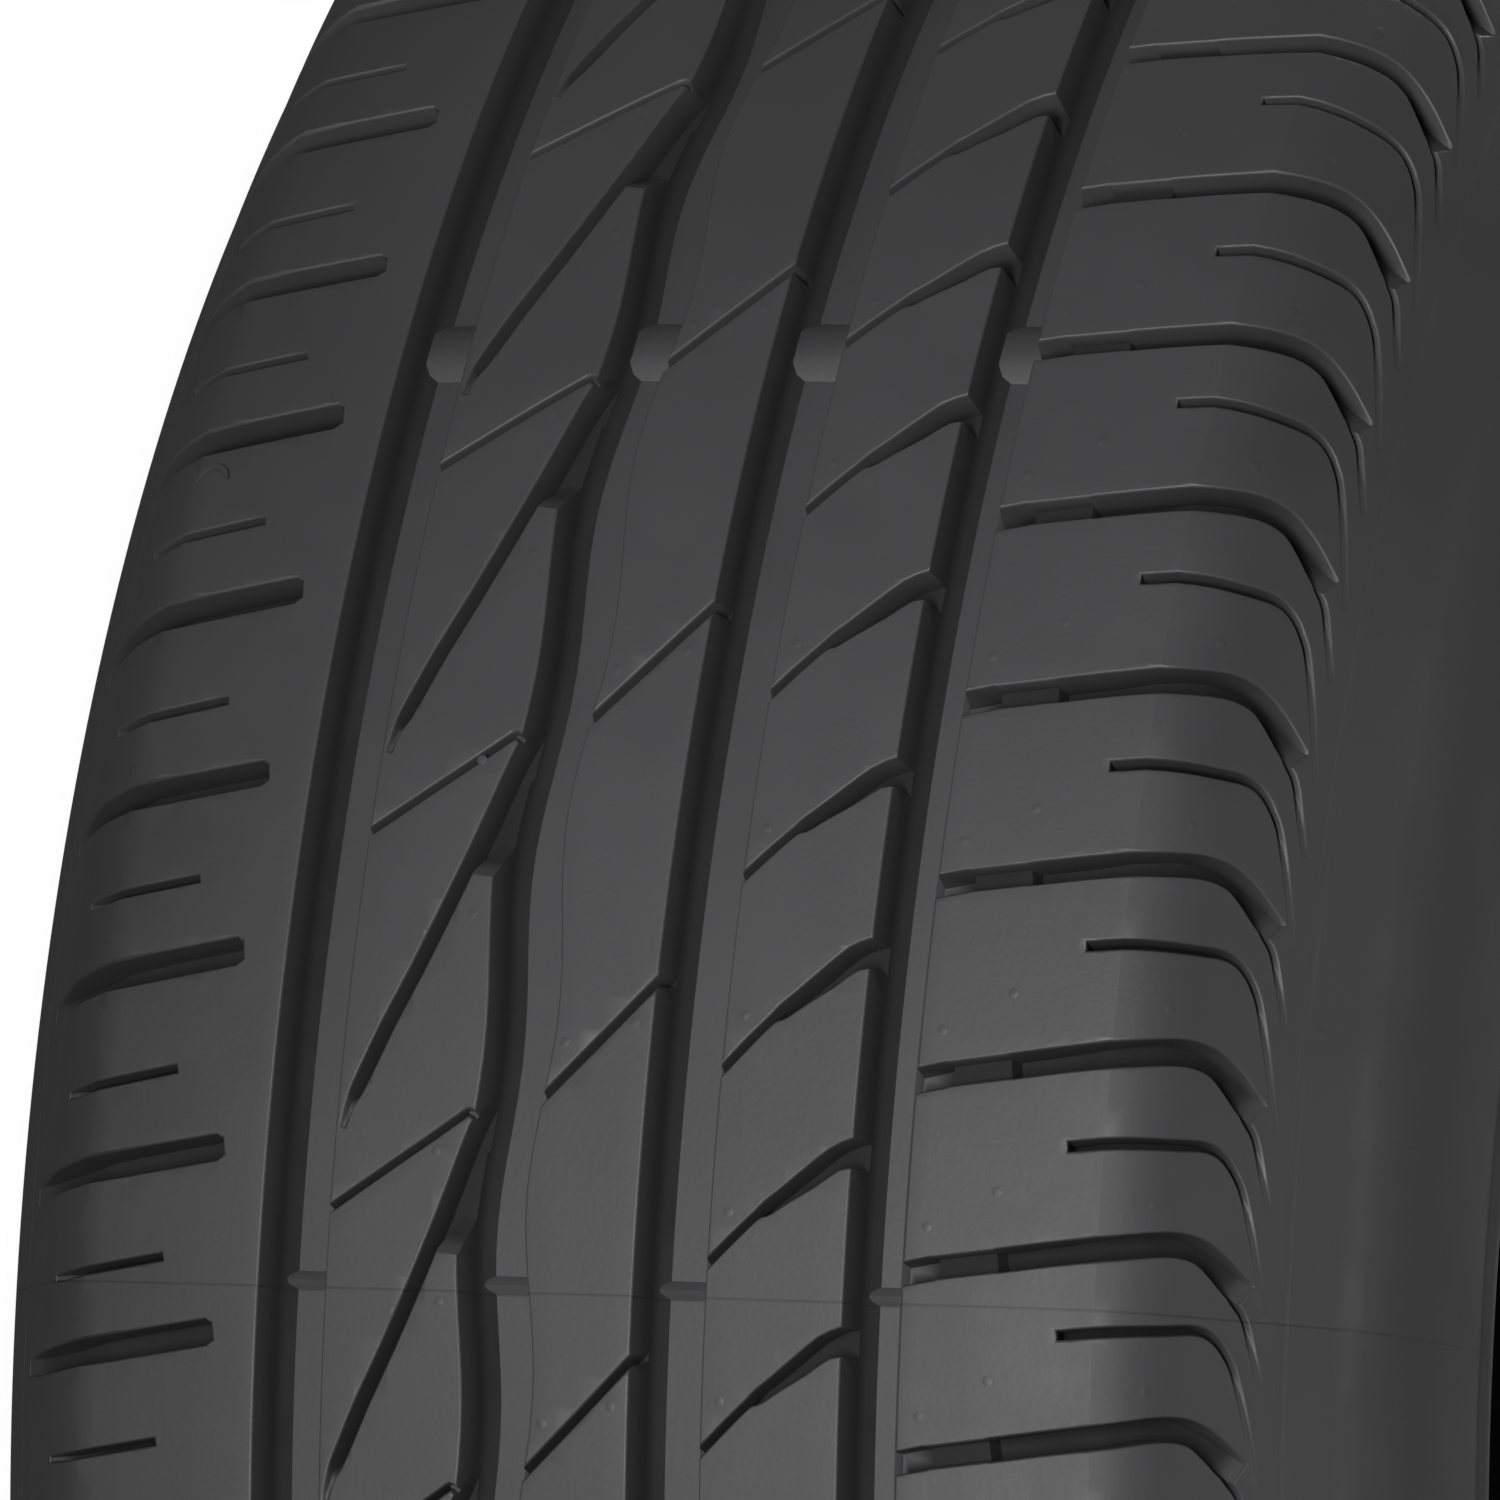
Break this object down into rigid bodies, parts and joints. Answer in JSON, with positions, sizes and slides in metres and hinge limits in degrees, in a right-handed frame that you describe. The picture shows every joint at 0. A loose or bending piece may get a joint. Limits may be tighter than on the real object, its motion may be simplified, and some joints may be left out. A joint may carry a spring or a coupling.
{
  "type": "car tyre",
  "caption": "Radial passenger car tyre with grooved asymmetric tread, rim protectors and an open inside; lies on its sidewall.",
  "frame": {"origin": "centre of the wheel, midway between the two beads", "axes": "+Z along the spin axis, through the sidewall that faces up; X and Y across the tyre"},
  "size_m": [0.643, 0.643, 0.226],
  "materials": {
    "rubber": "satin black tread and sidewall rubber"
  },
  "bodies": {
    "root": {"tyre": "rubber"}
  },
  "joints": []
}
